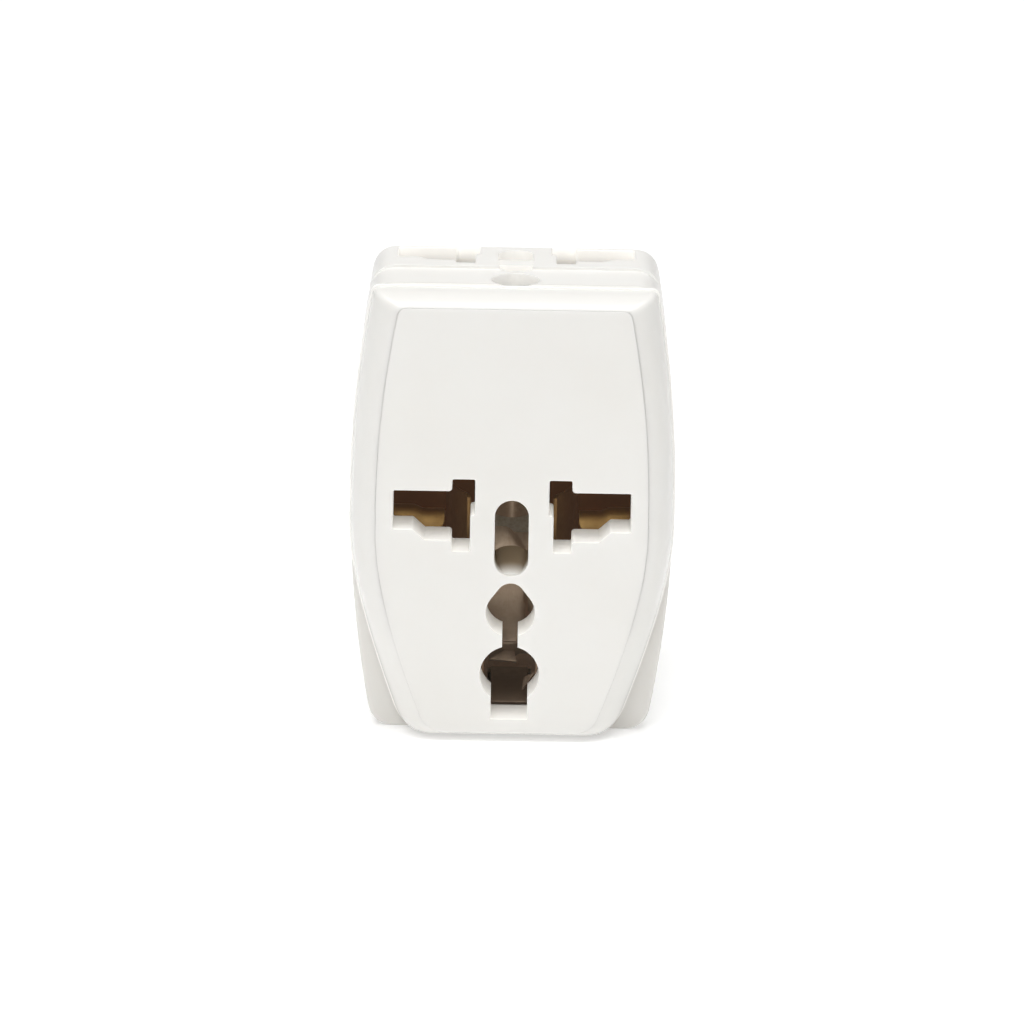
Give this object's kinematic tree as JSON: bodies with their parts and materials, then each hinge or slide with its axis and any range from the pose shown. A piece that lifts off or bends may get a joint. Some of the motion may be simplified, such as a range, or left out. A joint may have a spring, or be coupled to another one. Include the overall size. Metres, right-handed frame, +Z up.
{
  "type": "universal travel adapter",
  "caption": "Plug-in travel adapter with a universal outlet on its front, a second one on its top, and a round earthed plug on its back.",
  "frame": {"origin": "bottom centre of the bounding box, on the flat base, in the left-right symmetry plane", "axes": "+Z up; -Y is the front, where the main outlet faces; +Y is the back, along the plug pins; +X is the right as seen from the front"},
  "size_m": [0.0414, 0.0642, 0.059],
  "materials": {
    "white_shell": "white moulded thermoplastic, satin gloss",
    "ivory_insulator": "off-white moulded insulator, matt",
    "contact_brass": "stamped spring brass, slightly tarnished",
    "earth_nickel": "stamped brass with a thin dull nickel plate",
    "pin_nickel": "turned brass, bright nickel plated",
    "screw_zinc": "zinc-plated steel"
  },
  "bodies": {
    "root": {"front_shell": "white_shell", "front_face_plate": "white_shell", "rear_body": "white_shell", "plug_base": "white_shell", "front_contact_carrier": "ivory_insulator", "top_contact_carrier": "ivory_insulator", "front_line_contact": "contact_brass", "front_neutral_contact": "contact_brass", "top_line_contact": "contact_brass", "top_neutral_contact": "contact_brass", "line_busbar": "contact_brass", "neutral_busbar": "contact_brass", "line_pin": "pin_nickel", "neutral_pin": "pin_nickel", "front_earth_contact": "earth_nickel", "top_earth_contact": "earth_nickel", "earth_strap": "earth_nickel", "earth_bridge": "earth_nickel", "earth_tube": "earth_nickel", "upper_earth_clip": "pin_nickel", "lower_earth_clip": "pin_nickel", "case_screw_left": "screw_zinc", "case_screw_right": "screw_zinc", "plug_screw_left": "screw_zinc", "plug_screw_right": "screw_zinc"}
  },
  "joints": []
}
